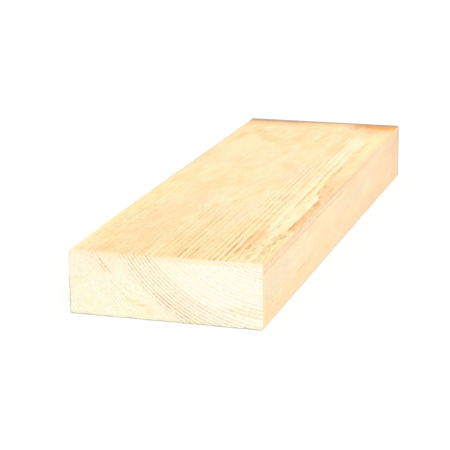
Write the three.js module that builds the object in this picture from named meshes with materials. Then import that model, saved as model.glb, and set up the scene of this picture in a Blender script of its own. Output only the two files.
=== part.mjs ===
// A short length of sawn softwood board, nominal 2 by 6 inches, lying on its broad face.
// Millimetres, +Z up. The board runs along Y, its width is along X, and the origin is on the
// underside, in the middle of the board's width and length.
import * as THREE from "three";

// The cross-section that the saw and planer leave.
const BOARD_WIDTH = 150;
const BOARD_THICKNESS = 50;

// The distance between the two crosscut ends.
const BOARD_LENGTH = 470;

// The four long corners are eased in the planer, and the saw leaves the end corners crisper.
const ARRIS_RADIUS = 1.2;
const ARRIS_SEGMENTS = 8;
const END_EASING_RADIUS = 0.5;
const END_EASING_SEGMENTS = 4;

// Clean dry softwood: pale, matt and not metallic.
const softwood = new THREE.MeshStandardMaterial({
  name: "softwood",
  color: new THREE.Color().setRGB(0.98, 0.89, 0.73, THREE.SRGBColorSpace),
  roughness: 0.72,
  metalness: 0,
});

// The section across the board, centred on X and standing on the local X axis.
function boardSection() {
  const half = BOARD_WIDTH / 2;
  const inner = half - ARRIS_RADIUS;
  const low = ARRIS_RADIUS;
  const high = BOARD_THICKNESS - ARRIS_RADIUS;
  const quarter = Math.PI / 2;
  const section = new THREE.Shape();
  section.moveTo(-inner, 0);
  section.lineTo(inner, 0);
  section.absarc(inner, low, ARRIS_RADIUS, -quarter, 0);
  section.lineTo(half, high);
  section.absarc(inner, high, ARRIS_RADIUS, 0, quarter);
  section.lineTo(-inner, BOARD_THICKNESS);
  section.absarc(-inner, high, ARRIS_RADIUS, quarter, 2 * quarter);
  section.lineTo(-half, low);
  section.absarc(-inner, low, ARRIS_RADIUS, 2 * quarter, 3 * quarter);
  return section;
}

// The section drawn out along the grain. The rounding of the ends takes its depth out of the
// length and out of the section, so that the board stays at its full size.
function plankMesh() {
  const geometry = new THREE.ExtrudeGeometry(boardSection(), {
    depth: BOARD_LENGTH - 2 * END_EASING_RADIUS,
    steps: 1,
    curveSegments: ARRIS_SEGMENTS,
    bevelEnabled: true,
    bevelThickness: END_EASING_RADIUS,
    bevelSize: END_EASING_RADIUS,
    bevelOffset: -END_EASING_RADIUS,
    bevelSegments: END_EASING_SEGMENTS,
  });
  const plank = new THREE.Mesh(geometry, softwood);
  plank.name = "plank";
  // The extrusion runs along local Z: it is laid down along Y with the section upright.
  plank.rotation.x = Math.PI / 2;
  plank.position.y = BOARD_LENGTH / 2 - END_EASING_RADIUS;
  return plank;
}

const board = new THREE.Group();
board.name = "board";
board.add(plankMesh());

export default board;
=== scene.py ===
# %% [markdown]
# # A sawn softwood plank
#
# This lesson finishes a short length of softwood board, 150 mm wide, 50 mm thick and 470 mm
# long. It is one piece of wood, so nearly all of its looks come from inside the material:
# growth rings that run right through it, fibres along its length, resin on the side nearest
# the centre of the tree, and pale cut ends. The shape work is all in the corners, because no
# real board has perfectly sharp ones.
#
# The fixed model of the board is loaded first, and everything is placed from its box.

# %% Load the fixed frame
import math

import bmesh
import bpy
from mathutils import Color, Matrix, Vector, noise


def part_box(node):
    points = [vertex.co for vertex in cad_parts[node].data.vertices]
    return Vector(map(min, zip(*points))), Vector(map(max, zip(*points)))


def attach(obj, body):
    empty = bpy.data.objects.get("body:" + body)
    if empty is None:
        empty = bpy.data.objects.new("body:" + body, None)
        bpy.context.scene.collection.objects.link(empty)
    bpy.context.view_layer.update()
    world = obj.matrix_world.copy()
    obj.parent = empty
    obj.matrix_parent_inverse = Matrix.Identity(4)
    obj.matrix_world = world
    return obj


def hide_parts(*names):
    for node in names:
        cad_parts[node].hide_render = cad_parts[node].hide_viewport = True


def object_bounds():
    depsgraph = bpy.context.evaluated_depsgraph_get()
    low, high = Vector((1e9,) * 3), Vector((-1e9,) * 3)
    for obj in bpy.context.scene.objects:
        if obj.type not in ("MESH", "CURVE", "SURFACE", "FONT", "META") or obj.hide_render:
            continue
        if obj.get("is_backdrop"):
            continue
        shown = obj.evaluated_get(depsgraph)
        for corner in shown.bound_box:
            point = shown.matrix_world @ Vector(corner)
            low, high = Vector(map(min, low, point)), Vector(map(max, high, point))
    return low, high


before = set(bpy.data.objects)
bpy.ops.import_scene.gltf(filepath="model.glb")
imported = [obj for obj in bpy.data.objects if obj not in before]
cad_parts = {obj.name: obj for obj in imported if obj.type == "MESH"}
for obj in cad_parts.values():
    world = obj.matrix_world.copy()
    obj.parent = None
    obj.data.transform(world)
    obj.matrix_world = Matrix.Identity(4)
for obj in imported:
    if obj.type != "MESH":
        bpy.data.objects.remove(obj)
cad_low, cad_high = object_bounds()

MM = 0.001
plank_low, plank_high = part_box("plank")
plank_size = plank_high - plank_low
HALF_WIDTH = plank_size.x / 2 / MM
HALF_LENGTH = plank_size.y / 2 / MM
THICKNESS = plank_size.z / MM
print("plank size in mm:", [round(side / MM, 2) for side in plank_size])

# %% [markdown]
# ## Camera
#
# A board shows best from a low three-quarter angle with a long lens, so that its length
# recedes without looking stretched. The camera is placed by how far round the board it
# stands, how high, how far away, and what it is aimed at. It leans by about one degree, as a
# camera held by hand does.

# %% Place the camera
CAMERA_AZIMUTH = math.radians(18.07)
CAMERA_ELEVATION = math.radians(15.98)
CAMERA_ROLL = math.radians(-0.94)
CAMERA_DISTANCE = 1325.2 * MM
CAMERA_AIM = Vector((-9.0, -61.6, 25.0)) * MM
FOCAL_LENGTH = 127.8
SENSOR_WIDTH = 36.0


def direction(azimuth, elevation):
    """The way from the board to something round it and above it."""
    return Vector((
        math.sin(azimuth) * math.cos(elevation),
        -math.cos(azimuth) * math.cos(elevation),
        math.sin(elevation),
    ))


def aimed(place, target):
    """A matrix that puts a camera or lamp at a place, facing the target."""
    turn = (target - place).to_track_quat("-Z", "Y").to_matrix().to_4x4()
    return Matrix.Translation(place) @ turn


scene = bpy.context.scene
camera = bpy.data.objects.new("camera", bpy.data.cameras.new("camera"))
scene.collection.objects.link(camera)
camera.data.sensor_width = SENSOR_WIDTH
camera.data.lens = FOCAL_LENGTH
stand = CAMERA_AIM + direction(CAMERA_AZIMUTH, CAMERA_ELEVATION) * CAMERA_DISTANCE
camera.matrix_world = aimed(stand, CAMERA_AIM) @ Matrix.Rotation(CAMERA_ROLL, 4, "Z")
scene.camera = camera
scene.view_settings.view_transform = "Standard"
print("camera stands at", [round(value, 3) for value in stand])

# %% [markdown]
# ## Wiring shader nodes
#
# Blender's materials are networks of nodes. Written out call by call they are hard to
# follow, so a small helper places a node, fills in its inputs, which may be plain values or
# other nodes' outputs, and hands back an output.

# %% A helper that wires nodes
NODES_A_ROW = 12
NODE_WIDTH = 220
NODE_HEIGHT = 260
# The Mix node has sockets for each kind of value. These are the ones for colours.
MIX_COLOUR_INPUTS = (0, 6, 7)
MIX_COLOUR_RESULT = 2


class Wiring:
    def __init__(self, tree):
        self.tree = tree
        self.count = 0

    def place(self, kind, inputs=None, **settings):
        """Adds a node, applies its settings and feeds its inputs."""
        node = self.tree.nodes.new("ShaderNode" + kind)
        row, column = divmod(self.count, NODES_A_ROW)
        node.location = (NODE_WIDTH * column, -NODE_HEIGHT * row)
        self.count += 1
        for name, value in settings.items():
            setattr(node, name, value)
        for name, value in (inputs or {}).items():
            self.feed(node.inputs[name], value)
        return node

    def feed(self, socket, value):
        if isinstance(value, bpy.types.NodeSocket):
            self.tree.links.new(value, socket)
        else:
            socket.default_value = value

    def math(self, operation, *values):
        """Arithmetic on numbers."""
        node = self.place("Math", operation=operation)
        for socket, value in zip(node.inputs, values):
            self.feed(socket, value)
        return node.outputs["Value"]

    def times(self, first, second):
        return self.math("MULTIPLY", first, second)

    def blend(self, factor, under, over):
        """Lays one colour over another."""
        node = self.place("Mix", data_type="RGBA", blend_type="MIX")
        for number, value in zip(MIX_COLOUR_INPUTS, (factor, under, over)):
            self.feed(node.inputs[number], value)
        return node.outputs[MIX_COLOUR_RESULT]

    def ease(self, value, start, end, low=0.0, high=1.0):
        """Goes smoothly from low to high as the value goes from start to end."""
        node = self.place("MapRange", {"Value": value, "From Min": start, "From Max": end,
                                       "To Min": low, "To Max": high},
                          interpolation_type="SMOOTHSTEP")
        return node.outputs["Result"]

    def curve(self, value, points):
        """Follows a line through (value, height) points, with heights from 0 to 1."""
        first, last = points[0][0], points[-1][0]
        share = self.place("MapRange", {"Value": value, "From Min": first, "From Max": last})
        node = self.place("FloatCurve", {"Value": share.outputs["Result"]})
        line = node.mapping.curves[0]
        for place, height in points[1:-1]:
            line.points.new((place - first) / (last - first), height)
        line.points[0].location = (0.0, points[0][1])
        line.points[-1].location = (1.0, points[-1][1])
        node.mapping.update()
        return node.outputs["Value"]

    def scaled(self, place, scale, shift=(0, 0, 0)):
        """Multiplies each number of a place, and then shifts it."""
        return self.place("Mapping", {"Vector": place, "Scale": scale,
                                      "Location": shift}).outputs["Vector"]

    def clouds(self, place, size, detail=2.0, roughness=0.5, shift=(0, 0, 0)):
        """Soft noise from 0 to 1, with lumps of a size across, along and up."""
        stretched = self.scaled(place, [1 / side for side in size], shift)
        node = self.place("TexNoise", {"Vector": stretched, "Scale": 1.0, "Detail": detail,
                                       "Roughness": roughness})
        return node.outputs["Fac"]

    def wander(self, place, size, detail, shift=(0, 0, 0)):
        """The same noise from -0.5 to 0.5, for moving things about."""
        return self.math("SUBTRACT", self.clouds(place, size, detail, shift=shift), 0.5)

    def patchy(self, place, size, detail, start, end, low=0.0, high=1.0, shift=(0, 0, 0)):
        """The same noise, going from low to high between two of its values."""
        return self.ease(self.clouds(place, size, detail, shift=shift), start, end, low, high)

    def split(self, place):
        """The three numbers of a place, as X, Y and Z."""
        return self.place("SeparateXYZ", {"Vector": place}).outputs

    def group(self, tree, **inputs):
        """Places a node group. Its inputs are named in small letters."""
        node = self.place("Group", node_tree=tree)
        for name, value in inputs.items():
            self.feed(node.inputs[name.capitalize()], value)
        return node.outputs


def wiring_for(owner):
    """Empties the nodes of a material or a world, and returns the helper for them."""
    owner.use_nodes = True
    owner.node_tree.nodes.clear()
    return Wiring(owner.node_tree)


def tone(*chart_values):
    """A colour as a paint chart gives it, from 0 to 255, in the linear values nodes use."""
    screen = Color([value / 255 for value in chart_values])
    return (*screen.from_srgb_to_scene_linear(), 1.0)


print("mid grey in linear values:", round(tone(128, 128, 128)[0], 3))

# %% [markdown]
# ## Studio
#
# The board lies on a plain pale floor in an even, soft light. The world gives light from all
# round at a level where a colour renders about as it is written, and one large soft lamp on
# the camera's right gives the faces a little difference in tone. The background should be
# white without pouring more light on the wood, so the world shows plain white to the camera
# and to reflections, and a gentler level to everything else.

# %% Light and world
WORLD_LEVEL = 0.9
KEY_POWER = 68.0
KEY_SIZE = 3.0
KEY_AZIMUTH = math.radians(44)
KEY_ELEVATION = math.radians(26)
KEY_DISTANCE = 5.0
WHITE = (1.0, 1.0, 1.0, 1.0)


def seen_directly(wiring):
    """1 for rays from the camera, a glossy surface or through a clear one, else 0."""
    path = wiring.place("LightPath").outputs
    straight = wiring.math("MAXIMUM", path["Is Camera Ray"], path["Is Glossy Ray"])
    return wiring.math("MAXIMUM", straight, path["Is Transmission Ray"])


world = bpy.data.worlds.new("studio")
sky = wiring_for(world)
sky_level = sky.place("MapRange", {"Value": seen_directly(sky), "To Min": WORLD_LEVEL,
                                   "To Max": 1.0})
glow = sky.place("Background", {"Color": WHITE, "Strength": sky_level.outputs["Result"]})
sky.place("OutputWorld", {"Surface": glow.outputs["Background"]})
scene.world = world

key = bpy.data.objects.new("key_lamp", bpy.data.lights.new("key_lamp", "AREA"))
key.data.shape = "DISK"
key.data.size = KEY_SIZE
key.data.energy = KEY_POWER
key.matrix_world = aimed(direction(KEY_AZIMUTH, KEY_ELEVATION) * KEY_DISTANCE, Vector())
scene.collection.objects.link(key)
print("key lamp stands at", [round(value, 2) for value in key.matrix_world.translation])

# %% [markdown]
# The floor is one large face just under the board. Its material mixes three surfaces: a
# matt one that throws light on the board, a glowing one that the camera sees, which still
# darkens where the board shades it, and a clear one from below.

# %% Floor
FLOOR_TONE = tone(228, 227, 224)
SHADOW_TONE = tone(150, 150, 150)
FLOOR_GLOW = 0.73
FLOOR_REACH = 12.0
FLOOR_GAP = 0.3 * MM


def either(wiring, factor, first, second):
    """The first surface where the factor is 0, and the second where it is 1."""
    mix = wiring.place("MixShader", {"Fac": factor})
    wiring.feed(mix.inputs[1], first)
    wiring.feed(mix.inputs[2], second)
    return mix.outputs["Shader"]


floor_finish = bpy.data.materials.new("pale_floor")
ground = wiring_for(floor_finish)
plain = ground.place("BsdfDiffuse", {"Color": FLOOR_TONE}).outputs["BSDF"]
dimmed = ground.place("BsdfDiffuse", {"Color": SHADOW_TONE}).outputs["BSDF"]
own_light = ground.place("Emission", {"Color": WHITE, "Strength": FLOOR_GLOW})
shown = ground.place("AddShader")
ground.feed(shown.inputs[0], dimmed)
ground.feed(shown.inputs[1], own_light.outputs["Emission"])
above = either(ground, seen_directly(ground), plain, shown.outputs["Shader"])
from_below = ground.place("NewGeometry").outputs["Backfacing"]
clear = ground.place("BsdfTransparent").outputs["BSDF"]
ground.place("OutputMaterial", {"Surface": either(ground, from_below, above, clear)})

slab = bmesh.new()
bmesh.ops.create_grid(slab, x_segments=1, y_segments=1, size=FLOOR_REACH)
bmesh.ops.translate(slab, vec=(0, 0, plank_low.z - FLOOR_GAP), verts=slab.verts)
floor_mesh = bpy.data.meshes.new("floor")
slab.to_mesh(floor_mesh)
slab.free()
floor_mesh.materials.append(floor_finish)
floor = bpy.data.objects.new("floor", floor_mesh)
scene.collection.objects.link(floor)
floor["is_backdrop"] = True
print("floor normal points", [round(v, 1) for v in floor_mesh.polygons[0].normal])

# %% [markdown]
# ## Growth rings
#
# A board is cut out of a trunk, so its figure is a slice through a set of long nested tubes.
# The centre of this tree lay a little beyond the board's right edge and well above its top,
# and it ran slightly askew to the saw cuts. Each year begins with pale soft wood and ends in
# a dark line with a crisp outer side. Lines painted on each face would never meet at the
# corners. A solid pattern does that by itself, so a node group works out the ring at any
# place inside the board, in millimetres. These two helpers make such groups.

# %% Make and close a node group
SOCKET_KINDS = {"value": "NodeSocketFloat", "place": "NodeSocketVector"}


def new_group(name, inputs, outputs):
    """An empty node group with named sockets, with its helper and its inputs."""
    tree = bpy.data.node_groups.new(name, "ShaderNodeTree")
    for socket_name, kind in inputs.items():
        tree.interface.new_socket(socket_name, in_out="INPUT", socket_type=SOCKET_KINDS[kind])
    for socket_name in outputs:
        tree.interface.new_socket(socket_name, in_out="OUTPUT",
                                  socket_type=SOCKET_KINDS["value"])
    return tree, Wiring(tree), tree.nodes.new("NodeGroupInput").outputs


def close_group(wiring, results):
    """Connects the results to the group's outputs."""
    sink = wiring.tree.nodes.new("NodeGroupOutput")
    for name, value in results.items():
        wiring.feed(sink.inputs[name], value)


print("kinds of sockets:", list(SOCKET_KINDS))

# %% [markdown]
# A tree doesn't grow evenly, so the distance from its centre is turned into years stretch by
# stretch, after two noises have made it wander. What is left over of a whole year, from 0 to
# 1, is raised to a power, so that it stays low and then rises steeply: that is the dark line.

# %% Node group: growth rings
PITH_ACROSS = HALF_WIDTH + 11.5
PITH_UP = THICKNESS + 73.5
LEAN_ACROSS = 0.002
LEAN_UP = -0.007
# Each stretch of growth: between which radii, and how many years it took.
GROWTH = ((0.0, 103.2, 42), (103.2, 122.5, 6), (122.5, 250.0, 51))
FIRST_YEAR = 13613
# Rings flatten out between two radii, and by more the lower they lie.
FLATTENING = (143, 153)
FLATTENED_BY = (-0.9, 4.0)
FLAT_HEIGHT = 15
# The size of the noises that move the rings, and how far they do.
BROAD_LUMPS = (45, 190, 45)
BROAD_WANDER = 2.2
WANDER_FULL = 260
FINE_LUMPS = (7, 60, 7)
FINE_WANDER = 0.6


def distance_from_pith(w, split, along):
    """The distance in millimetres from the line up the centre of the tree."""
    pith_across = w.math("MULTIPLY_ADD", along, LEAN_ACROSS, PITH_ACROSS)
    pith_up = w.math("MULTIPLY_ADD", along, LEAN_UP, PITH_UP)
    across = w.math("SUBTRACT", split["X"], pith_across)
    up = w.math("SUBTRACT", split["Z"], pith_up)
    return w.math("SQRT", w.math("ADD", w.times(across, across), w.times(up, up)))


def years_grown(w, radius):
    """How many years the tree took to grow to a radius."""
    total = 0.0
    for start, end, years in GROWTH:
        stretch = w.place("MapRange", {"Value": radius, "From Min": start, "From Max": end,
                                       "To Min": 0.0, "To Max": years})
        total = w.math("ADD", total, stretch.outputs["Result"])
    return total


def growth_rings_group():
    tree, w, given = new_group("growth rings", {"Place": "place", "Sharpness": "value"},
                               ["Radius", "Latewood", "Year"])
    place = given["Place"]
    split = w.split(place)
    along = w.math("ADD", split["Y"], HALF_LENGTH)
    radius = distance_from_pith(w, split, along)
    flattened = w.ease(split["Z"], THICKNESS, FLAT_HEIGHT, *FLATTENED_BY)
    radius = w.math("MULTIPLY_ADD", w.ease(radius, *FLATTENING), flattened, radius)
    broad = w.times(w.wander(place, BROAD_LUMPS, 1), w.ease(along, 0, WANDER_FULL))
    fine = w.wander(place, FINE_LUMPS, 1)
    radius = w.math("MULTIPLY_ADD", broad, BROAD_WANDER, radius)
    radius = w.math("MULTIPLY_ADD", fine, FINE_WANDER, radius)
    years = years_grown(w, radius)
    number = w.math("ADD", w.math("FLOOR", years), FIRST_YEAR)
    year = w.place("TexWhiteNoise", {"W": number}, noise_dimensions="1D")
    close_group(w, {
        "Radius": radius,
        "Latewood": w.math("POWER", w.math("FRACT", years), given["Sharpness"]),
        "Year": year.outputs["Value"],
    })
    return tree


growth_rings = growth_rings_group()
print("tree centre in mm, across and up:", round(PITH_ACROSS, 1), round(PITH_UP, 1))

# %% [markdown]
# ## Fibres
#
# The fibres of softwood run along the board, and show at every scale: broad clouds of warmer
# and paler wood, mottles, streaks, short flecks where the cutter crossed the fibres at a
# slant, and single fibres. In some regions resin ducts are cut open and show as short brown
# dashes. Each is its own noise, stretched along the grain.

# %% Node group: fibres
# Each pattern: its size in millimetres, its detail, and perhaps its roughness and shift.
FIBRE_PATTERNS = {
    "Cloud": ((34, 100, 34), 2),
    "Mottle": ((8, 30, 8), 4, 0.6),
    "Tint": ((13, 44, 13), 3, 0.5, (30, 10, 20)),
    "Streak": ((2.4, 17, 2.4), 3),
    "Fleck": ((0.9, 5, 0.9), 2),
    "Fibre": ((0.6, 9, 0.6), 2),
}
# Patchy noises: a size, a detail, and the values between which they come in.
DUCTS = ((1.5, 9, 1.5), 2, 0.58, 0.72)
DUCT_REGIONS = ((30, 70, 30), 1, 0.4, 0.62)


def fibres_group():
    tree, w, given = new_group("fibres", {"Place": "place"}, [*FIBRE_PATTERNS, "Duct"])
    place = given["Place"]
    duct = w.times(w.patchy(place, *DUCTS), w.patchy(place, *DUCT_REGIONS))
    results = {name: w.clouds(place, *pattern) for name, pattern in FIBRE_PATTERNS.items()}
    close_group(w, {**results, "Duct": duct})
    return tree


fibres = fibres_group()
print("fibre patterns:", [item.name for item in fibres.interface.items_tree])

# %% [markdown]
# ## Stains and painted shade
#
# A stain is a soft-edged patch with a centre and a reach in each direction. Its edge is
# ragged and drawn out along the grain, as resin and water travel in wood, and a streaky one
# lets the fibres show through. Its centre also moves the noise, so that no two are torn alike.
# The same soft patch also paints a few thin lines of shade along the corners.

# %% Node group: soft patch
TEAR_SIZE = (2.4, 16, 2.4)
THREADS = ((1.1, 9, 1.1), 2, 0.62, 0.42)
# A stain is solid up to the second of these shares of its reach, and gone at the first.
STAIN_EDGE = (1.1, 0.45)
# Stains end well within this many times their reach.
BALL_SIZE = 4


def stain_group():
    tree, w, given = new_group(
        "soft_patch", {"Place": "place", "Centre": "place", "Reach": "place", "Ragged": "value",
                  "Streaky": "value"}, ["Mask"])
    place = given["Place"]
    centre = given["Centre"]
    # This kind of Mapping node moves the centre to zero and divides by the reach.
    offset = w.place("Mapping", {"Vector": place, "Location": centre, "Scale": given["Reach"]},
                     vector_type="TEXTURE").outputs["Vector"]
    # A ball gradient is 1 in the middle and falls to 0 at a distance of 1.
    ball = w.place("TexGradient", {"Vector": w.scaled(offset, [1 / BALL_SIZE] * 3)},
                   gradient_type="SPHERICAL").outputs["Fac"]
    distance = w.math("MULTIPLY_ADD", ball, -BALL_SIZE, BALL_SIZE)
    torn = w.wander(place, TEAR_SIZE, 3, shift=centre)
    solid = w.ease(w.math("MULTIPLY_ADD", torn, given["Ragged"], distance), *STAIN_EDGE)
    threads = w.patchy(place, *THREADS, shift=centre)
    left = w.math("SUBTRACT", 1.0, w.times(threads, given["Streaky"]))
    close_group(w, {"Mask": w.times(solid, left)})
    return tree


soft_patch = stain_group()
print("shared groups:", [tree.name for tree in (growth_rings, fibres, soft_patch)])

# %% [markdown]
# ## Building a wood finish
#
# Every finish is built up as a painter would do it: a cloudy ground, stains, and the dark
# line that ends each year. Places are in millimetres from the board's middle and underside,
# and `near(d)` is d millimetres from the near end.

# %% Places and layers
def near(distance):
    return distance - HALF_LENGTH


FAR = 2 * HALF_LENGTH


def begin_finish(name, sharpness):
    """A new finish, its helper, the place in the board, its three numbers and its rings."""
    finish = bpy.data.materials.new(name)
    w = wiring_for(finish)
    place = w.scaled(w.place("TexCoord").outputs["Object"], [1 / MM] * 3)
    rings = w.group(growth_rings, place=place, sharpness=sharpness)
    return finish, w, place, w.split(place), rings


def lay(w, body, layers, strength=1.0):
    """Each layer: a pattern, its values between which the layer comes in, the most that it
    covers, and its colour."""
    for pattern, start, end, most, colour in layers:
        share = w.times(w.ease(pattern, start, end, high=most), strength)
        body = w.blend(share, body, colour)
    return body


def add_stains_and_shade(w, place, body, stains_and_shade):
    """Each stain or line of painted shade: its place and reach, how ragged and streaky it is,
    colour and strength.
    """
    for centre, reach, ragged, streaky, colour, strength in stains_and_shade:
        mask = w.group(soft_patch, place=place, centre=centre, reach=reach, ragged=ragged,
                       streaky=streaky)["Mask"]
        body = w.blend(w.times(mask, strength), body, colour)
    return body


print("near and far end in mm:", round(near(0)), round(near(FAR)))

# %% [markdown]
# Marks on one side of the board share one of the three numbers of their place: across for
# an edge, along for an end, up for the top. So a row gives the two others, then its reach
# across, along and up, and then the rest.

# %% Marks on a side of the board
ACROSS, ALONG, UP = range(3)


def marks(axis, level, rows):
    """Completes the place in each row, and takes its place and reach together."""
    complete = []
    for first, second, across, along, up, *rest in rows:
        place = [first, second]
        place.insert(axis, level)
        place[ALONG] = near(place[ALONG])
        complete.append((place, (across, along, up), *rest))
    return complete


print("axes by number:", ACROSS, ALONG, UP)

# %% [markdown]
# How strongly the lines show changes with the distance from the tree's centre, and that is
# drawn as a curve. Patches in which the lines between two radii show more are added, and
# chance, since no two years were equally dry. Bare wood hardly shines, so the specular level
# of its shader is low all over.

# %% Ring lines and the surface itself
PATCH_RAGGED = 0.8
SPECULAR = 0.3


def line_strength(w, place, rings, strengths, patches, fade, evenness):
    """How strongly the line that ends this year shows here, from 0 to about 1."""
    radius = rings["Radius"]
    drawn = w.times(w.curve(radius, strengths), fade)
    for centre, reach, extra, inner, outer in patches:
        mask = w.group(soft_patch, place=place, centre=centre, reach=reach, ragged=PATCH_RAGGED)
        within = w.times(w.math("GREATER_THAN", radius, inner),
                         w.math("LESS_THAN", radius, outer))
        drawn = w.math("MULTIPLY_ADD", w.times(mask["Mask"], within), extra, drawn)
    each_year = w.math("MULTIPLY_ADD", rings["Year"], 1 - evenness, evenness)
    return w.times(drawn, each_year)


def finish_surface(w, body, roughness, height, relief):
    """The shader itself, with relief from a height pattern."""
    bump = w.place("Bump", {"Height": height, "Strength": 1.0, "Distance": relief})
    surface = w.place("BsdfPrincipled", {"Base Color": body, "Roughness": roughness,
                                         "Normal": bump.outputs["Normal"]})
    surface.inputs["Specular IOR Level"].default_value = SPECULAR
    w.place("OutputMaterial", {"Surface": surface.outputs["BSDF"]})


print("specular level of bare wood:", SPECULAR)

# %% [markdown]
# ## Long grain: the broad faces and the narrow edges
#
# Along the grain softwood is straw and peach coloured. The part nearest the tree's centre is
# heartwood, full of resin: here it just reaches the top right corner, and it shows as an
# amber tongue with a dark wavy rim, beside a band of the palest wood. The far end has gone
# brown, and painted grey shade darkens its last edge. The broad faces and the narrow edges
# get the same steps with their own values. The tones come first, as on a painter's palette.

# %% Tones of the long grain
STRAW = tone(255, 239, 190)
APRICOT = tone(255, 229, 174)
BLUSH = tone(255, 219, 154)
PALE_BAND = tone(255, 247, 202)
FROST = tone(255, 248, 224)
MILK = tone(250, 246, 212)
LEMON = tone(255, 240, 156)
PETAL = tone(255, 226, 192)
SHADE = tone(172, 140, 62)
SAPWOOD = tone(255, 238, 174)
OCHRE = tone(255, 224, 158)
OLIVE = tone(214, 168, 84)
LATE_LINE = tone(204, 138, 56)
DUCT = tone(226, 190, 138)
AMBER = tone(255, 212, 156)
AMBER_DEEP = tone(254, 190, 128)
RIM = tone(216, 156, 90)
RESIN = tone(254, 198, 138)
RESIN_DARK = tone(196, 112, 66)
CHERRY = tone(244, 146, 104)
TEA = tone(240, 190, 60)
HONEY = tone(255, 222, 160)
PEACH = tone(255, 214, 156)
ORANGE = tone(255, 166, 46)
RUST = tone(220, 136, 70)
SCORCH = tone(255, 206, 144)
# Grey-brown for painted shade along the far edge and along the far and left corners.
EDGE_SHADE_TONE = tone(186, 156, 130)
# Grey for painted shade along the left corner of the top.
LEFT_CORNER_SHADE = tone(226, 213, 190)
# Grey for painted contact shadow along the foot, and for a line of painted shade down a
# corner.
SHADE_LINE_GREY = tone(186, 178, 160)
print("straw in linear values:", [round(value, 3) for value in STRAW])

# %% [markdown]
# Over soft clouds of two tones come mottles, stronger towards the tree's centre, and tints,
# streaks, flecks and fibres, which are stronger near the camera, where the eye can tell them
# apart. A thin grey line of painted contact shadow runs along the foot of the board where it
# lies on the ground.

# %% The ground of the long grain, and painted contact shadow
CLOUD_RANGE = (0.36, 0.64)
# Across this stretch of the board's width the mottles get stronger.
UNEVEN_SIDE = (-30, 10)
UNEVEN_GAIN = 1.35
# Along this stretch of its length the fine layers fade.
CRISP_STRETCH = (20, 210)
CRISP_NEAR = 1.3
CRISP_FAR = 0.25
FOOT_SHADE_TEARS = (7, 16, 7)
FOOT_SHADE_RAGGED = 1.6
FOOT_SHADE_HEIGHTS = (1.0, 0.3)


def wood_ground(w, grain, split, along, tones, strength):
    """The cloudy, mottled and flecked ground of planed softwood."""
    pale, warm, deep = tones
    body = w.blend(w.ease(grain["Cloud"], *CLOUD_RANGE), pale, warm)
    body = lay(w, body, (
        (grain["Mottle"], 0.46, 0.74, 0.75, deep),
        (grain["Mottle"], 0.48, 0.28, 0.6, PALE_BAND),
    ), w.ease(split["X"], *UNEVEN_SIDE, strength, UNEVEN_GAIN * strength))
    body = lay(w, body, (
        (grain["Tint"], 0.52, 0.68, 0.35, PETAL),
        (grain["Tint"], 0.42, 0.28, 0.25, LEMON),
    ), strength)
    body = lay(w, body, (
        (grain["Streak"], 0.5, 0.74, 0.17, SHADE),
        (grain["Streak"], 0.46, 0.28, 0.45, pale),
        (grain["Fleck"], 0.54, 0.74, 0.3, SHADE),
        (grain["Fleck"], 0.46, 0.26, 0.6, PALE_BAND),
        (grain["Fibre"], 0.5, 0.74, 0.16, SHADE),
    ), w.ease(along, *CRISP_STRETCH, CRISP_NEAR * strength, CRISP_FAR * strength))
    return lay(w, body, [(along, 80, 0, 0.4, deep)])


def shaded_foot(w, place, split, body, strength):
    """A thin ragged line of painted contact shadow along the foot of the board."""
    ragged = w.wander(place, FOOT_SHADE_TEARS, 3)
    height = w.math("MULTIPLY_ADD", ragged, FOOT_SHADE_RAGGED, split["Z"])
    return lay(w, body, [(height, *FOOT_SHADE_HEIGHTS, strength, SHADE_LINE_GREY)])


print("fine layers near and far:", CRISP_NEAR, CRISP_FAR)

# %% [markdown]
# Heartwood ends at a certain ring, more or less. So its edge is a radius that changes slowly
# along the board and quickly with a noise. How far a place lies inside that edge gives the
# amber tone, the narrow dark rim and the pale band outside it.

# %% Heartwood and the pale band
HEART_RADIUS = 73.8
HEART_SPREAD = 4.0
HEART_EDGE = [(60, 0.3), (92, 0.3), (130, 0.23), (165, 0.12), (183, 0.15), (196, 0.36),
              (212, 0.52), (250, 0.63), (268, 0.8), (290, 0.92), (315, 0.85), (345, 0.62),
              (400, 0.5)]
HEART_SHOWN = [(0, 0), (80, 0), (92, 1), (228, 1), (252, 0.55), (280, 0.22), (330, 0.05),
               (400, 0)]
PALE_SHOWN = [(0, 0), (60, 0.1), (95, 0.9), (230, 0.75), (275, 0.4),
              (325, 0.8), (405, 0.9), (432, 0)]
WAVE_SIZE = (5, 18, 5)
WAVE_HEIGHT = 0.8
# The distances inside the heartwood's edge between which each part comes in.
AMBER_IN = (-0.2, 0.25)
AMBER_DEEPENS = (0.0, 0.5)
RIM_IN = (-0.2, 0.1)
RIM_OUT = (0.6, 0.1)
PALE_IN = (0.3, -0.5)
# The pale band ends between these radii, and the deep amber along this stretch.
PALE_OUT = (81.5, 79.7)
DEEP_STRETCH = (235, 90)
# Patchy noises that make each part uneven.
AMBER_PATCHES = ((5, 14, 5), 3, 0.36, 0.56, 0.55)
RIM_PATCHES = ((3, 22, 3), 2, 0.35, 0.6)
PALE_PATCHES = ((5, 26, 5), 3, 0.3, 0.6, 0.35)
RIM_STRENGTH = 0.8


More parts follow.
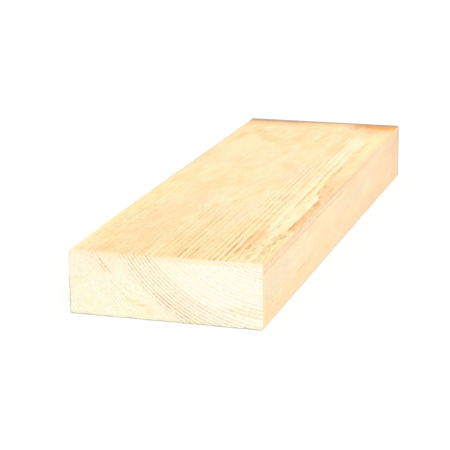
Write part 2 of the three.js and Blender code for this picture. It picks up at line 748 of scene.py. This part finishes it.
def heart_and_pale_band(w, place, radius, along, body, pale_strength):
    """The amber tongue of heartwood, its dark rim and the pale wood outside it."""
    edge = w.math("MULTIPLY_ADD", w.curve(along, HEART_EDGE), HEART_SPREAD, HEART_RADIUS)
    waved = w.math("MULTIPLY_ADD", w.wander(place, WAVE_SIZE, 2), WAVE_HEIGHT, radius)
    inside = w.math("SUBTRACT", edge, waved)
    pale = w.times(w.ease(inside, *PALE_IN), w.ease(radius, *PALE_OUT))
    pale = w.times(pale, w.curve(along, PALE_SHOWN))
    patches = w.times(w.patchy(place, *PALE_PATCHES), pale_strength)
    body = w.blend(w.times(pale, patches), body, PALE_BAND)
    shown = w.curve(along, HEART_SHOWN)
    depth = w.times(w.ease(along, *DEEP_STRETCH), w.ease(inside, *AMBER_DEEPENS))
    solid = w.times(w.times(w.ease(inside, *AMBER_IN), shown), w.patchy(place, *AMBER_PATCHES))
    body = w.blend(solid, body, w.blend(depth, AMBER, AMBER_DEEP))
    rim = w.times(w.ease(inside, *RIM_IN), w.ease(inside, *RIM_OUT))
    rim = w.times(rim, w.patchy(place, *RIM_PATCHES))
    return w.blend(w.times(rim, w.times(shown, RIM_STRENGTH)), body, RIM)


print("heartwood ends from", HEART_RADIUS, "to", HEART_RADIUS + HEART_SPREAD, "mm")

# %% [markdown]
# Both long grain finishes follow one order: ground, heartwood, ducts, the scorched far end,
# stains and painted shade, ring lines, the painted grey shade of the far edge and a painted
# contact shadow along the foot. The lines come after the stains, because a stain sinks into
# wood and doesn't hide its rings.

# %% The steps of a long grain finish
# Each band: how ragged, how much narrower on the right, and how far from the end it starts
# and is full.
SCORCH_BAND = (12, 13, 40, 14)
# The second band is painted grey shade along the far edge.
SHADED_EDGE_BAND = (7, 4, 17, 4)
BAND_TEARS = (12, 14, 12)
NARROWED_SIDE = (-35, 10)
LINE_FADE = [(0, 1.0), (60, 0.95), (150, 0.7), (240, 0.42), (310, 0.18), (470, 0.1)]
LINE_BREAKS = ((2.2, 13, 2.2), 3, 0.34, 0.6, 0.15, 1.05)
LONG_SHARPNESS = 3.0
LONG_EVENNESS = 0.05
EARLY_WOOD = (0.25, 0.02)
DUCT_STRENGTH = 0.35
HONEY_STRENGTH = 0.45
LINE_HEIGHT = 0.8
FIBRE_HEIGHT = 0.5
LONG_ROUGHNESS = (0.3, 0.7, 0.62, 0.5)
LONG_RELIEF = 0.06 * MM


def far_band(w, place, split, along, band, strength):
    """How much of a band of the far end shows here."""
    raggedness, narrowing, start, full = band
    reach = w.math("MULTIPLY_ADD", w.wander(place, BAND_TEARS, 3), raggedness, along)
    reach = w.math("ADD", reach, w.ease(split["X"], *NARROWED_SIDE, 0.0, -narrowing))
    return w.ease(reach, FAR - start, FAR - full, high=strength)


def long_grain_finish(name, ground, strength, pale_strength, lines, patches, stains_and_shade,
                      far_warmth_and_shade, foot_shade):
    finish, w, place, split, rings = begin_finish(name, LONG_SHARPNESS)
    grain = w.group(fibres, place=place)
    radius = rings["Radius"]
    along = w.math("ADD", split["Y"], HALF_LENGTH)
    body = wood_ground(w, grain, split, along, ground, strength)
    body = lay(w, body, [(radius, 170, 178, 0.6, SAPWOOD)], strength)
    body = heart_and_pale_band(w, place, radius, along, body, pale_strength)
    body = w.blend(w.times(grain["Duct"], DUCT_STRENGTH), body, DUCT)
    shows = line_strength(w, place, rings, lines, patches, w.curve(along, LINE_FADE),
                          LONG_EVENNESS)
    shows = w.times(shows, w.patchy(place, *LINE_BREAKS))
    line = w.times(rings["Latewood"], shows)
    body = w.blend(w.times(shows, HONEY_STRENGTH), body, HONEY)
    body = w.blend(far_band(w, place, split, along, SCORCH_BAND, far_warmth_and_shade), body, SCORCH)
    body = add_stains_and_shade(w, place, body, stains_and_shade)
    early = w.ease(rings["Latewood"], *EARLY_WOOD)
    body = w.blend(w.times(early, shows), body, PALE_BAND)
    body = w.blend(line, body, LATE_LINE)
    # Painted grey shade along the far edge.
    body = w.blend(far_band(w, place, split, along, SHADED_EDGE_BAND, far_warmth_and_shade), body, EDGE_SHADE_TONE)
    # Painted contact shadow along the foot.
    body = shaded_foot(w, place, split, body, foot_shade)
    threads = w.times(grain["Fibre"], FIBRE_HEIGHT)
    height = w.math("MULTIPLY_ADD", line, LINE_HEIGHT, threads)
    finish_surface(w, body, w.ease(grain["Streak"], *LONG_ROUGHNESS), height, LONG_RELIEF)
    return finish


print("scorched length in mm:", SCORCH_BAND[2])

# %% [markdown]
# ### The broad faces
#
# What is left is this board's own: how strongly its lines show, and its stains. They could
# be painted on an image, but a list of soft marks can be changed number by number.

# %% Ring lines of the broad faces
# Each patch: its place and reach, how much more the lines show, and between which radii.
FACE_GROUND = (STRAW, APRICOT, BLUSH)
FACE_LINES = [(73, 0.1), (76.6, 0.15), (77.5, 0.55), (79.5, 0.55), (81.5, 0.35), (83.5, 0.75),
              (89, 0.75), (91, 0.45), (94, 0.35), (98, 0.25), (101, 0.45), (108, 0.45),
              (112, 0.25), (122, 0.25), (135, 0.2), (150, 0.25), (170, 0.2), (205, 0.35)]
FACE_PATCHES = marks(UP, THICKNESS, [
    (14, 0, 12, 34, 5, 0.7, 99, 109),
    (66, 15, 8, 60, 6, 0.4, 73, 77.5),
    (40, 10, 20, 84, 6, 0.12, 80.5, 97),
    (2, 70, 32, 84, 6, 0.17, 99, 138),
    (56, 255, 6, 165, 8, 0.5, 77, 79.5),
    (33, 220, 15, 110, 8, 0.22, 82, 99),
    (50, 300, 8, 90, 8, 0.2, 79.5, 86),
])
print("patches on the broad faces:", len(FACE_PATCHES))

# %% [markdown]
# A later stain covers an earlier one. Most of the long narrow ones are growth lines that took
# up more or less resin than the others, a few thin ones along the top's corners are painted
# shade, and the last ones are the orange far corner.

# %% Finish: broad faces
# Each stain or line of painted shade: its place and reach, how ragged, how streaky, its colour
# and its strength.
FACE_STAINS_AND_SHADE = marks(UP, THICKNESS, [
    (-70, 110, 4, 150, 6, 1.2, 0.5, LEMON, 0.3),
    (-66, 204, 4, 14, 4, 1.2, 0.3, LEMON, 0.7),
    (-66, 158, 4, 10, 4, 1.2, 0.3, LEMON, 0.5),
    (-60, 127, 4, 7, 4, 1.2, 0.3, LEMON, 0.5),
    (-58, 237, 4, 6, 4, 1.2, 0.3, LEMON, 0.5),
    (-69, 236, 4, 14, 4, 1.2, 0.3, LEMON, 0.5),
    (-70, 4, 13, 50, 6, 0.7, 0.3, PALE_BAND, 0.4),
    (-75, 16, 5, 80, 6, 0.7, 0, FROST, 0.9),
    (-66, 222, 6, 16, 5, 1.2, 0.4, PEACH, 0.6),
    (-69, 296, 5, 22, 5, 1.2, 0.4, PEACH, 0.5),
    (-68, 385, 5, 40, 5, 1.4, 0.5, PEACH, 0.5),
    (-52, 66, 10, 26, 6, 1.2, 0.5, PEACH, 0.4),
    # Painted grey shade along the left corner of the top.
    (-75.5, 320, 5, 230, 6, 0.8, 0.4, LEFT_CORNER_SHADE, 0.5),
    (-75.3, 300, 1.8, 260, 4, 0.6, 0.3, EDGE_SHADE_TONE, 0.6),
    (-32, 120, 18, 100, 8, 0.9, 0.5, PEACH, 0.5),
    (-47, 345, 16, 46, 8, 0.6, 0.3, STRAW, 0.7),
    (-30, 290, 14, 40, 8, 0.8, 0.4, PEACH, 0.35),
    (24, 338, 12, 34, 8, 0.8, 0.4, STRAW, 0.6),
    (30, 262, 16, 36, 8, 0.9, 0.4, PETAL, 0.6),
    (23, 140, 10, 36, 8, 0.9, 0.4, PETAL, 0.6),
    (-28, 40, 28, 52, 8, 0.9, 0.4, PEACH, 0.3),
    (-30, 405, 42, 34, 8, 0.9, 0.4, PEACH, 0.25),
    (-62, 392, 4, 24, 5, 1.6, 0.5, TEA, 0.4),
    (-51, 414, 5, 17, 5, 1.6, 0.5, TEA, 0.4),
    (-44, 403, 4.5, 18, 5, 1.6, 0.5, TEA, 0.35),
    (-36, 390, 5, 17, 5, 1.6, 0.5, TEA, 0.35),
    (-27, 382, 7, 12, 5, 1.6, 0.5, TEA, 0.35),
    (-8, 388, 13, 11, 5, 1.6, 0.5, TEA, 0.12),
    (66, 402, 8, 34, 5, 1.2, 0.5, LEMON, 0.4),
    (38, 416, 8, 26, 6, 1.1, 0.4, PEACH, 0.7),
    (53, 420, 8, 22, 6, 1.1, 0.4, PEACH, 0.7),
    (52.5, 385, 3.6, 46, 5, 1, 0.8, FROST, 0.6),
    (51.2, 300, 1.4, 80, 4, 0.7, 0.3, FROST, 0.5),
    (47.5, 375, 1.3, 34, 4, 0.8, 0.4, FROST, 0.6),
    (57.6, 315, 1.6, 100, 4, 0.7, 0.3, FROST, 0.65),
    (54.4, 262, 1.4, 54, 3, 0.7, 0.3, TEA, 0.26),
    (56.6, 206, 1.9, 42, 4, 0.8, 0.3, TEA, 0.38),
    (61.5, 268, 1.9, 38, 4, 1, 0.4, OLIVE, 0.4),
    (62.5, 365, 1.8, 40, 4, 1, 0.4, OLIVE, 0.18),
    (43.6, 345, 1.5, 62, 4, 0.9, 0.4, OLIVE, 0.2),
    (38, 388, 1.5, 26, 4, 0.9, 0.4, OLIVE, 0.2),
    (67, 302, 4, 18, 4, 1.3, 0.4, LEMON, 0.5),
    (69, 350, 4, 22, 4, 1.3, 0.4, LEMON, 0.3),
    (61, 340, 3, 14, 4, 1.1, 0.4, LEMON, 0.5),
    (62.5, 284, 2.4, 10, 4, 1.4, 0.5, RIM, 0.22),
    (65, 322, 2.4, 12, 4, 1.4, 0.5, RIM, 0.15),
    (40, 375, 6, 36, 5, 1.2, 0.5, PEACH, 0.45),
    (16, 412, 5, 24, 5, 0.9, 0.3, PEACH, 0.7),
    (38, 50, 15, 90, 8, 0.6, 0.2, OCHRE, 0.6),
    (8, 66, 30, 56, 8, 0.9, 0.4, PEACH, 0.3),
    (4, 245, 30, 70, 8, 0.9, 0.4, PEACH, 0.25),
    (67, 38, 14, 54, 8, 0.9, 0.3, OCHRE, 0.9),
    (66, 38, 13, 52, 6, 1.8, 1, OLIVE, 0.4),
    (63, 34, 13, 46, 6, 1.8, 1, PALE_BAND, 0.8),
    (65.5, 42, 1.6, 9, 4, 1.4, 0.4, OLIVE, 0.5),
    (70, 71, 2.8, 8, 4, 1.6, 0.6, OLIVE, 0.6),
    (69, 53, 2.8, 6, 4, 1.6, 0.6, OLIVE, 0.55),
    (60, 14, 2, 12, 4, 1.4, 0.4, OLIVE, 0.35),
    (66, 6, 1.8, 8, 4, 1.4, 0.4, OLIVE, 0.5),
    (62, 74, 4, 18, 4, 1, 0.4, PALE_BAND, 0.8),
    (39, 43, 1.2, 9, 4, 0.9, 0.3, MILK, 0.5),
    (54.5, 118, 3.6, 34, 5, 1, 0.4, MILK, 0.6),
    (62, 112, 3.2, 12, 5, 1.2, 0.3, MILK, 0.6),
    (65, 176, 3.6, 26, 5, 1.2, 0.4, MILK, 0.7),
    (50.5, 172, 1.8, 26, 5, 1.2, 0.4, MILK, 0.7),
    (60, 238, 3, 26, 5, 1, 0.4, LEMON, 0.7),
    (53.5, 312, 2, 16, 5, 1, 0.4, MILK, 0.7),
    (59.5, 97, 1.3, 8, 4, 1.2, 0.3, OLIVE, 0.4),
    (60.5, 123, 1.5, 6, 4, 1.2, 0.3, OLIVE, 0.3),
    (40.6, 178, 1.2, 9, 4, 1.2, 0.3, OLIVE, 0.45),
    (38.6, 290, 1.4, 10, 4, 1.2, 0.3, OLIVE, 0.3),
    (45.8, 144, 1, 20, 4, 1, 0.3, OLIVE, 0.4),
    (51.4, 63, 7.5, 37, 5, 1.2, 0.35, RESIN, 1.0),
    (53, 34, 8, 20, 5, 1.2, 0.4, RESIN, 0.5),
    (67, 6, 9, 9, 4, 0.9, 0.3, PALE_BAND, 0.5),
    (47.2, 63, 1, 8, 4, 0.9, 0.3, RESIN_DARK, 0.5),
    (48, 30, 1.4, 13, 4, 1.2, 0.4, RESIN_DARK, 0.5),
    (53, 38, 2.4, 7, 4, 1.2, 0.2, RESIN_DARK, 0.35),
    (42.4, 32, 1.3, 27, 3, 0.7, 0.1, CHERRY, 0.8),
    (14, 4, 10, 26, 5, 1.8, 0.6, RESIN, 0.6),
    (9, 17, 3.6, 13, 4, 1.2, 0.4, RESIN, 0.7),
    (9.4, 18, 1.5, 5, 3, 1, 0.2, OLIVE, 0.6),
    (18.6, 23, 1.5, 6, 3, 1, 0.2, OLIVE, 0.5),
    (37, 1, 3.4, 6, 3, 1, 0.2, OLIVE, 0.5),
    (-57, 25, 6, 14, 4, 1.2, 0.4, STRAW, 0.5),
    (-50, 8, 7, 20, 4, 1.9, 0.9, RESIN, 0.4),
    (-48.4, 16, 2.2, 28, 4, 1, 0.4, RESIN, 0.45),
    (-19.4, 22, 0.9, 46, 3, 0.6, 0.2, OLIVE, 0.3),
    (-14.2, 22, 0.9, 46, 3, 0.6, 0.2, PALE_BAND, 0.7),
    (-10.2, 12, 0.9, 26, 3, 0.6, 0.2, PALE_BAND, 0.7),
    (-35, 7, 8, 9, 4, 2.2, 0.9, OLIVE, 0.25),
    (-20, 10, 6, 18, 4, 1.9, 0.9, RESIN, 0.4),
    # Painted shade along the right corner of the top, darkening where the light catches it.
    (74.6, 375, 2.2, 150, 4, 0.7, 0.3, BLUSH, 0.8),
    (75, 40, 1.3, 55, 3, 0.6, 0.3, BLUSH, 0.8),
    (72, 167, 2.6, 9, 4, 1, 0.2, RUST, 0.4),
    (64.5, 222, 2.4, 7, 4, 1.2, 0.2, RIM, 0.35),
    (71.5, 214, 2.2, 10, 4, 1.2, 0.2, RIM, 0.3),
    (56, 466, 32, 44, 14, 0.7, 0.1, ORANGE, 0.5),
    (62, 466, 28, 23, 14, 0.7, 0.1, ORANGE, 1.0),
    (37, 460, 7, 22, 10, 1.3, 0.3, RUST, 0.5),
    (47, 464, 5, 16, 10, 1.3, 0.3, RUST, 0.6),
    (57, 469, 15, 12, 10, 1, 0.2, RUST, 0.8),
])
face_grain = long_grain_finish(
    "face_grain", ground=FACE_GROUND, strength=1.0, pale_strength=1.0, lines=FACE_LINES,
    patches=FACE_PATCHES, stains_and_shade=FACE_STAINS_AND_SHADE, far_warmth_and_shade=0.95, foot_shade=0.0)
print("finish:", face_grain.name, "with", len(FACE_STAINS_AND_SHADE), "stains_and_shade")

# %% [markdown]
# ### The narrow edges
#
# The narrow edges are calmer and rosier than the broad faces, with fewer lines. So they use
# the same steps with weaker layers and no pale band.

# %% Finish: narrow edges
EDGE_GROUND = (tone(255, 236, 198), tone(255, 228, 186), tone(255, 219, 172))
MAUVE = tone(248, 208, 174)
HEATHER = tone(234, 188, 154)
SALMON = tone(255, 212, 168)
# Grey for painted contact shadow along the foot of the edge.
FOOT_SHADE_TONE = tone(238, 220, 206)
ASHEN = tone(246, 233, 208)
EDGE_LINES = [(73, 0.1), (82, 0.15), (90, 0.12), (104, 0.15), (112, 0.15), (126, 0.25),
              (170, 0.2), (180, 0.5), (205, 0.6)]
EDGE_PATCHES = marks(ACROSS, -HALF_WIDTH, [(370, 25, 5, 190, 45, 0.3, 165, 215)])
EDGE_PATCHES += marks(ACROSS, HALF_WIDTH, [
    (10, 20, 5, 40, 12, 0.3, 90, 120),
    (150, 46, 5, 190, 6, 0.12, 73, 82),
])
EDGE_STAINS_AND_SHADE = marks(ACROSS, HALF_WIDTH, [
    (130, 45, 8, 240, 5, 1, 0.5, MAUVE, 0.5),
    (125, 47, 8, 230, 1.8, 1.1, 0.6, HEATHER, 0.5),
    (120, 42.4, 8, 200, 1.6, 1.1, 0.6, HEATHER, 0.35),
    (44, 28, 8, 64, 14, 0.9, 0.4, ASHEN, 0.5),
    (190, 6, 8, 200, 12, 0.8, 0.3, PEACH, 0.25),
    (370, 4, 8, 150, 16, 0.8, 0.3, SALMON, 0.6),
    (446, 16, 8, 18, 26, 0.8, 0.3, SALMON, 0.6),
    (432, 40, 8, 30, 14, 0.8, 0.3, MAUVE, 0.6),
    (104, 16, 5, 18, 1.3, 0.7, 0.2, OLIVE, 0.3),
    (0, 25, 5, 7, 50, 0.5, 0.2, MILK, 0.35),
    # A line of painted shade down the near corner of the edge.
    (0, 22, 5, 3.5, 28, 0.5, 0.2, SHADE_LINE_GREY, 0.2),
    # Painted grey shade down and along the far corner of the edge.
    (470, 25, 5, 3.5, 40, 0.4, 0.2, EDGE_SHADE_TONE, 0.5),
    (469, 43, 5, 8, 11, 0.6, 0.2, EDGE_SHADE_TONE, 0.4),
    (454, 36, 5, 18, 20, 0.8, 0.4, HEATHER, 0.3),
    (282, 31, 8, 52, 8, 0.9, 0.4, ASHEN, 0.4),
    (330, 47.5, 8, 100, 4, 0.9, 0.4, MAUVE, 0.5),
    (430, 48, 8, 50, 5, 0.8, 0.3, PEACH, 0.6),
    (30, 50, 8, 60, 2.6, 0.6, 0.3, PEACH, 0.5),
    # Painted contact shadow along the foot of the edge.
    (240, 0, 5, 270, 4, 0.7, 0.3, FOOT_SHADE_TONE, 0.6),
    (330, 38, 5, 90, 14, 0.9, 0.3, SALMON, 0.3),
    (405, 27, 5, 60, 15, 0.9, 0.3, SALMON, 0.45),
])
edge_grain = long_grain_finish(
    "edge_grain", ground=EDGE_GROUND, strength=0.55, pale_strength=0.0, lines=EDGE_LINES,
    patches=EDGE_PATCHES, stains_and_shade=EDGE_STAINS_AND_SHADE, far_warmth_and_shade=0.2, foot_shade=0.6)
print("finish:", edge_grain.name, "with", len(EDGE_STAINS_AND_SHADE), "stains_and_shade")

# %% [markdown]
# ## End grain: the crosscut ends
#
# Sawn across, the same wood is much paler: the saw opens millions of fibre ends that scatter
# light. The rings show as arcs, boldest in one band of good growing years. Fine rays run out
# from the tree's centre across the rings.

# %% Tones and marks of the end grain
CREAM = tone(255, 254, 236)
CHALK = tone(255, 254, 243)
BUFF = tone(255, 247, 218)
ROSE = tone(255, 244, 224)
LIME = tone(250, 252, 216)
FIBRE_END = tone(214, 200, 168)
GOLD = tone(252, 232, 184)
# Grey for painted shade at the left corner of the end.
END_CORNER_SHADE = tone(158, 150, 136)
MOSS = tone(246, 240, 192)
TAN = tone(236, 206, 148)
TOAST = tone(255, 233, 192)
END_LINE = tone(188, 138, 72)

END_LINES = [(73, 0.15), (79, 0.25), (84, 0.35), (88, 0.2), (93, 0.12), (104, 0.15),
             (117, 0.15), (119.5, 0.25), (121.3, 0.6), (126, 0.7), (130, 0.65), (133, 0.65),
             (136, 0.9), (139.7, 0.95), (142, 1.0), (143.5, 0.8), (146, 0.15), (175, 0.15),
             (205, 0.2)]
END_PATCHES = marks(ALONG, 0, [
    (-48, 45, 13, 8, 18, 1.1, 155, 157.6),
    (-49, 46, 12, 8, 15, 0.8, 157.6, 160.1),
    (-38, 20, 15, 8, 12, 0.3, 146, 175),
    (-62, 38, 12, 8, 14, 0.2, 161, 190),
    (20, 8, 40, 8, 20, 0.2, 128, 143.5),
    (-18, 47, 12, 8, 7, 0.3, 124, 135),
    (60, 13, 28, 8, 6, 0.45, 105, 122),
    (58, 25, 28, 8, 10, 0.12, 90, 112),
])
END_STAINS_AND_SHADE = marks(ALONG, 0, [
    (-12, 51, 60, 6, 7, 0.9, 0.3, TOAST, 0.6),
    (-48, 42, 14, 6, 12, 0.9, 0.3, TOAST, 0.5),
    (14, 8, 30, 6, 13, 0.9, 0.3, TOAST, 0.2),
    (-67, 28, 7, 8, 3, 1.3, 0.3, MOSS, 0.6),
    (-26, 14, 8, 8, 2.5, 1.2, 0.3, MOSS, 0.8),
    (-17, 11.2, 7, 8, 1.1, 0.8, 0.4, TAN, 0.55),
    (-12, 6, 4, 8, 6, 1.2, 0.3, GOLD, 0.5),
    (-60, 11, 5, 8, 4, 1.2, 0.3, GOLD, 0.35),
    (64, 13, 18, 8, 4, 0.9, 0.6, MOSS, 0.7),
    (-20, 50.4, 75, 6, 1.8, 0.4, 0.2, PEACH, 0.6),
    (34, 50.6, 80, 6, 5.6, 0.6, 0.3, TOAST, 0.5),
    (-66, 50.6, 16, 6, 5.6, 0.6, 0.3, TOAST, 0.5),
    (75, 25, 1.9, 6, 44, 0.3, 0, TOAST, 0.25),
    # Painted shade down the left corner of the end and in its lower left corner.
    (-75.2, 14, 1.3, 8, 22, 0.3, 0.2, END_CORNER_SHADE, 0.9),
    (-75, 0, 2.4, 8, 1.6, 0.3, 0, END_CORNER_SHADE, 0.9),
])
# Painted grey shade along the top corner of the far end.
END_STAINS_AND_SHADE += marks(ALONG, FAR, [(0, 50.5, 160, 6, 3, 0.5, 0.2, EDGE_SHADE_TONE, 0.9)])
print("patches and stains on the ends:", len(END_PATCHES), len(END_STAINS_AND_SHADE))

# %% [markdown]
# Rays and growth follow the tree, not the board. So their noises are read in turned places:
# the way round the tree, and the way out from its centre.

# %% Finish: end grain
# At this radius the turned patterns have their true size.
TRUE_RADIUS = 130
TURNED_PATTERNS = {
    "growth": ((16, 3.5, 1), 4, 0.6),
    "blotches": ((7, 3, 1), 3),
    "rays": ((0.5, 9, 1), 2),
}
BOARD_PATTERNS = {
    "patches": ((7, 30, 5), 4, 0.6),
    "tints": ((6, 40, 4), 2),
    "speckle": ((0.9, 4, 0.9), 1),
}
END_BREAKS = ((5, 20, 4), 3, 0.36, 0.6, 0.6, 1.15)
SPECKLED_LINES = (0.35, 0.62, 0.45)
END_SHARPNESS = 4.0
END_STRENGTH = 1.1
END_EVENNESS = 0.5
TOAST_STRENGTH = 0.2
# How strongly painted contact shadow darkens the foot of the ends.
END_FOOT_SHADE = 0.8
RAY_HEIGHT = 0.4
END_ROUGHNESS = (0.3, 0.7, 0.78, 0.68)
END_RELIEF = 0.08 * MM


def end_patterns(w, place, split, radius):
    """The patterns of the end grain by name."""
    angle = w.math("ARCTAN2", w.math("SUBTRACT", PITH_UP, split["Z"]),
                   w.math("SUBTRACT", PITH_ACROSS, split["X"]))
    turned = w.place("CombineXYZ", {"X": w.times(angle, TRUE_RADIUS), "Y": radius})
    turned = turned.outputs["Vector"]
    patterns = {name: w.clouds(turned, *look) for name, look in TURNED_PATTERNS.items()}
    for name, look in BOARD_PATTERNS.items():
        patterns[name] = w.clouds(place, *look)
    return patterns


def end_grain_finish():
    finish, w, place, split, rings = begin_finish("end_grain", END_SHARPNESS)
    grain = end_patterns(w, place, split, rings["Radius"])
    body = lay(w, CREAM, (
        (grain["growth"], 0.36, 0.7, 1.0, BUFF),
        (grain["patches"], 0.47, 0.68, 0.8, ROSE),
        (grain["tints"], 0.48, 0.66, 0.7, LIME),
        (split["X"], -10, 45, 0.85, CHALK),
        (grain["blotches"], 0.5, 0.72, 0.7, ROSE),
        (grain["tints"], 0.5, 0.3, 0.5, LIME),
        (grain["rays"], 0.45, 0.75, 0.35, BUFF),
    ))
    shows = line_strength(w, place, rings, END_LINES, END_PATCHES, END_STRENGTH, END_EVENNESS)
    broken = w.times(w.ease(grain["speckle"], *SPECKLED_LINES), w.patchy(place, *END_BREAKS))
    line = w.times(w.times(rings["Latewood"], shows), broken)
    body = add_stains_and_shade(w, place, body, END_STAINS_AND_SHADE)
    body = w.blend(w.times(shows, TOAST_STRENGTH), body, TOAST)
    body = w.blend(line, body, END_LINE)
    body = lay(w, body, (
        (grain["speckle"], 0.54, 0.74, 0.3, FIBRE_END),
        (grain["speckle"], 0.42, 0.24, 0.4, CHALK),
    ))
    # Painted contact shadow along the foot.
    body = shaded_foot(w, place, split, body, END_FOOT_SHADE)
    height = w.math("MULTIPLY_ADD", line, LINE_HEIGHT, w.times(grain["rays"], RAY_HEIGHT))
    finish_surface(w, body, w.ease(grain["patches"], *END_ROUGHNESS), height, END_RELIEF)
    return finish


end_grain = end_grain_finish()
print("finish:", end_grain.name)

# %% [markdown]
# ## The plank
#
# The board starts as a cube scaled to the model's box. It is cut into a fine grid, so that
# there are points to move, and then the bevel operator eases its corners: more along the
# grain, where the planer knocks them off, and less round the ends, where the saw leaves them
# crisp.

# %% Shape the plank
GRID_STEP = 2.5
LONG_EASE = 1.2 * MM
LONG_EASE_STEPS = 4
END_EASE = 0.5 * MM
END_EASE_STEPS = 2
SQUARE_CORNER = math.radians(60)
# An edge runs along an axis if that part of its direction is larger than this.
ALIGNED = 0.99


def lies_along(edge, axis):
    step = edge.verts[0].co - edge.verts[1].co
    return abs(step.normalized()[axis]) > ALIGNED


def split_along(shell, axis):
    """Cuts every edge that runs along one axis into steps of about the grid size."""
    edges = [edge for edge in shell.edges if lies_along(edge, axis)]
    cuts = round(edges[0].calc_length() / MM / GRID_STEP) - 1
    bmesh.ops.subdivide_edges(shell, edges=edges, cuts=cuts, use_grid_fill=True)


def ease_corners(shell, along_grain, reach, steps):
    """Eases the square corners that run along the grain, or those round the ends."""
    corners = [edge for edge in shell.edges if edge.calc_face_angle(0) > SQUARE_CORNER
               and lies_along(edge, ALONG) == along_grain]
    bmesh.ops.bevel(shell, geom=corners, offset=reach, offset_type="OFFSET", segments=steps,
                    profile=0.5, affect="EDGES", clamp_overlap=True, material=-1)


shell = bmesh.new()
bmesh.ops.create_cube(shell, size=1.0)
bmesh.ops.scale(shell, vec=plank_size, verts=shell.verts)
bmesh.ops.translate(shell, vec=(plank_low + plank_high) / 2, verts=shell.verts)
for axis in range(3):
    split_along(shell, axis)
ease_corners(shell, True, LONG_EASE, LONG_EASE_STEPS)
ease_corners(shell, False, END_EASE, END_EASE_STEPS)
print("faces in the eased shell:", len(shell.faces))

# %% [markdown]
# ## Wear on the corners
#
# A board that has been carried and stacked loses a little at its corners. Cutting each dent
# by hand would look regular. Instead every point near a corner is pushed in by a noise that
# is drawn out along the grain, and further at the near left corner of the top, which has
# been knocked. Points only ever move inwards, so the board keeps its size.

# %% Wear the corners
WEAR_REACH = 2.6 * MM
WEAR_DEPTH = 0.75 * MM
WEAR_THRESHOLD = 0.08
WEAR_GRAIN = (4 * MM, 17 * MM, 4 * MM)
KNOCK_REACH = 9.0 * MM
KNOCK_DEPTH = 1.0 * MM
FAR_WEAR = 0.25
FAR_REACH = 330 * MM

middle = (plank_low + plank_high) / 2
knocked_corner = Vector((plank_low.x, plank_low.y, plank_high.z))


def closeness(place):
    """How close a point is to the nearest face in each direction, from 0 to 1 on the face."""
    return [max(0.0, 1 - (plank_size[axis] / 2 - abs(place[axis] - middle[axis])) / WEAR_REACH)
            for axis in range(3)]


def wear_share(place):
    """How much of the wear a point gets. The far end is crisper."""
    return min(1.0, FAR_WEAR + max(0.0, plank_high.y - place.y) / FAR_REACH)


deepest = 0.0
moved = 0
for vertex in shell.verts:
    close = closeness(vertex.co)
    at_corner = sorted(close)[1]
    if at_corner > 0:
        stretched = Vector([vertex.co[axis] / WEAR_GRAIN[axis] for axis in range(3)])
        dent = max(0.0, noise.noise(stretched) - WEAR_THRESHOLD) * WEAR_DEPTH
        knock = max(0.0, 1 - (vertex.co - knocked_corner).length / KNOCK_REACH) ** 2
        depth = at_corner * (dent * wear_share(vertex.co) + knock * KNOCK_DEPTH)
        for axis in range(3):
            side = 1 if vertex.co[axis] > middle[axis] else -1
            vertex.co[axis] -= side * close[axis] * depth
        deepest = max(deepest, depth)
        moved += depth > 0
shell.normal_update()
print("points worn:", moved, "and the deepest by", round(deepest / MM, 2), "mm")

# %% [markdown]
# ## One piece, three finishes
#
# The board is one piece of wood, so it stays one object, and the direction that a face of
# its mesh looks in decides on the finish. Eased and worn faces are shaded smooth.

# %% Make the plank from its shell
FINISHES = (face_grain, edge_grain, end_grain)
# A face is end or edge grain if that part of its normal is larger than this.
END_TILT = 0.35
EDGE_TILT = 0.7
FLAT = 0.9999
for face in shell.faces:
    tilt = [abs(part) for part in face.normal]
    if tilt[1] > END_TILT:
        face.material_index = FINISHES.index(end_grain)
    elif tilt[0] > EDGE_TILT:
        face.material_index = FINISHES.index(edge_grain)
    face.smooth = max(tilt) < FLAT

plank_mesh = bpy.data.meshes.new("softwood_plank")
shell.to_mesh(plank_mesh)
shell.free()
for finish in FINISHES:
    plank_mesh.materials.append(finish)
softwood_plank = bpy.data.objects.new("softwood_plank", plank_mesh)
scene.collection.objects.link(softwood_plank)
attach(softwood_plank, "root")
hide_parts("plank")
print("triangles:", sum(len(face.vertices) - 2 for face in plank_mesh.polygons))

# %% [markdown]
# ## Compare the size
#
# The finer board must be as big as the fixed model and no bigger, so the largest difference
# between the two boxes is printed.

# %% Print the largest size difference
low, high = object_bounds()
differences = [abs(value) for value in (*(low - cad_low), *(high - cad_high))]
print("largest difference in mm:", round(max(differences) / MM, 3))
